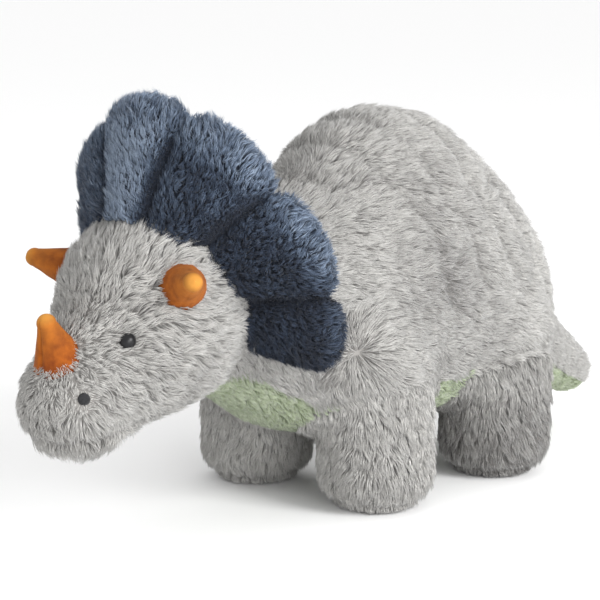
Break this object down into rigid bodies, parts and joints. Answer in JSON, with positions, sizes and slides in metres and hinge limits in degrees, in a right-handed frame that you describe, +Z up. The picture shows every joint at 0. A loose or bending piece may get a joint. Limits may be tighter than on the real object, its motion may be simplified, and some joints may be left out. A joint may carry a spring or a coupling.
{
  "type": "stuffed dinosaur",
  "caption": "Stuffed plush dinosaur on four round legs, with nose and brow horns, a scalloped padded frill, a quilted back and a tapered tail; head, legs and tail flex at sewn seams.",
  "frame": {"origin": "centre of the bounding box at floor level, under the middle of the torso", "axes": "+Z up, -Y towards the nose, +X the toy's left side; symmetric about X = 0"},
  "size_m": [0.2052, 0.494, 0.255],
  "materials": {
    "grey_plush": "long soft fur pile, grey, tufted",
    "green_plush": "short dense plush pile, sage green",
    "blue_frill_plush": "short dense plush pile, slate blue",
    "orange_velvet": "short orange velvet with a soft sheen",
    "polyester_filling": "loose white polyester fibre",
    "dark_thread": "dark sewing and embroidery thread",
    "eye_plastic": "black moulded safety eye, glossy",
    "washer_plastic": "white moulded washer"
  },
  "bodies": {
    "torso": {"torso_back_skin": "grey_plush", "belly_panel_skin": "green_plush", "back_quilt_wadding": "polyester_filling", "torso_stuffing": "polyester_filling"},
    "head": {"head_skin": "grey_plush", "chin_gusset_skin": "grey_plush", "head_stuffing": "polyester_filling", "eye_left": "eye_plastic", "eye_right": "eye_plastic", "eye_washer_left": "washer_plastic", "eye_washer_right": "washer_plastic", "nostril_left": "dark_thread", "nostril_right": "dark_thread", "nose_horn_skin": "orange_velvet", "nose_horn_stuffing": "polyester_filling", "brow_horn_skin_left": "orange_velvet", "brow_horn_skin_right": "orange_velvet", "brow_horn_stuffing_left": "polyester_filling", "brow_horn_stuffing_right": "polyester_filling", "frill_front_skin": "blue_frill_plush", "frill_back_skin": "blue_frill_plush", "frill_wadding": "polyester_filling", "frill_channel_stitches": "dark_thread"},
    "tail": {"tail_upper_skin": "grey_plush", "tail_under_skin": "green_plush", "tail_stuffing": "polyester_filling"},
    "front_left_leg": {"front_left_leg_skin": "grey_plush", "front_left_leg_stuffing": "polyester_filling", "front_left_foot_sole": "grey_plush"},
    "front_right_leg": {"front_right_leg_skin": "grey_plush", "front_right_leg_stuffing": "polyester_filling", "front_right_foot_sole": "grey_plush"},
    "hind_left_leg": {"hind_left_leg_skin": "grey_plush", "hind_left_leg_stuffing": "polyester_filling", "hind_left_foot_sole": "grey_plush"},
    "hind_right_leg": {"hind_right_leg_skin": "grey_plush", "hind_right_leg_stuffing": "polyester_filling", "hind_right_foot_sole": "grey_plush"}
  },
  "joints": [
    {"name": "head_nod", "type": "hinge", "parent": "torso", "child": "head", "pos_m": [0, -0.118, 0.13], "axis": [1, 0, 0], "range_deg": [-12, 12], "stiffness_Nm_per_rad": 2.5},
    {"name": "tail_wag", "type": "hinge", "parent": "torso", "child": "tail", "pos_m": [0, 0.14, 0.08], "axis": [0, 0, 1], "range_deg": [-15, 15], "stiffness_Nm_per_rad": 0.3},
    {"name": "front_left_leg_swing", "type": "hinge", "parent": "torso", "child": "front_left_leg", "pos_m": [0.048, -0.026, 0.084], "axis": [1, 0, 0], "range_deg": [-12, 12], "stiffness_Nm_per_rad": 1.5},
    {"name": "front_right_leg_swing", "type": "hinge", "parent": "torso", "child": "front_right_leg", "pos_m": [-0.048, -0.026, 0.084], "axis": [1, 0, 0], "range_deg": [-12, 12], "stiffness_Nm_per_rad": 1.5},
    {"name": "hind_left_leg_swing", "type": "hinge", "parent": "torso", "child": "hind_left_leg", "pos_m": [0.048, 0.09, 0.084], "axis": [1, 0, 0], "range_deg": [-12, 12], "stiffness_Nm_per_rad": 1.5},
    {"name": "hind_right_leg_swing", "type": "hinge", "parent": "torso", "child": "hind_right_leg", "pos_m": [-0.048, 0.09, 0.084], "axis": [1, 0, 0], "range_deg": [-12, 12], "stiffness_Nm_per_rad": 1.5}
  ]
}
